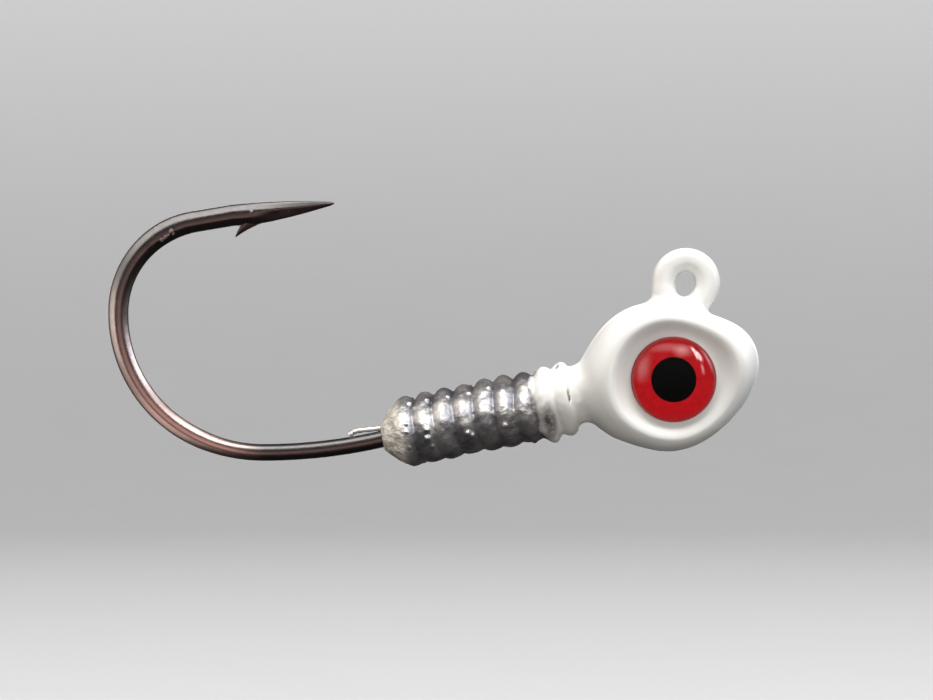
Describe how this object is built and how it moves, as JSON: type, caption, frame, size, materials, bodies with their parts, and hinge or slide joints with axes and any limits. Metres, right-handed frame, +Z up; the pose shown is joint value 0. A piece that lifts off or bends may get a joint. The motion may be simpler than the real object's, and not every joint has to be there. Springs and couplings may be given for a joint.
{
  "type": "jig head",
  "caption": "Lead jig head with a round coated head, domed eyes in sockets, a loop line tie, a ribbed bait collar and a barbed J hook.",
  "frame": {"origin": "centre of the line-tie hole", "axes": "+X towards the nose, +Y towards the fish's left side, +Z up towards the line tie"},
  "size_m": [0.0529, 0.0094, 0.0215],
  "materials": {
    "hook_steel": "black nickel plate on forged high-carbon steel, glossy",
    "bare_lead": "bare bright cast lead, slightly bumpy",
    "white_coat": "white powder coat, semi-gloss",
    "keeper_steel": "bright plain wire",
    "eye_adhesive": "double-sided foam adhesive",
    "red_iris": "printed red film",
    "black_pupil": "printed black ink",
    "clear_dome": "clear epoxy dome, glossy"
  },
  "bodies": {
    "root": {"hook": "hook_steel", "lead_casting": "bare_lead", "powder_coat": "white_coat", "keeper_wire": "keeper_steel", "right_eye_adhesive": "eye_adhesive", "right_eye_iris_disc": "red_iris", "right_eye_pupil_disc": "black_pupil", "right_eye_dome": "clear_dome", "left_eye_adhesive": "eye_adhesive", "left_eye_iris_disc": "red_iris", "left_eye_pupil_disc": "black_pupil", "left_eye_dome": "clear_dome"}
  },
  "joints": []
}
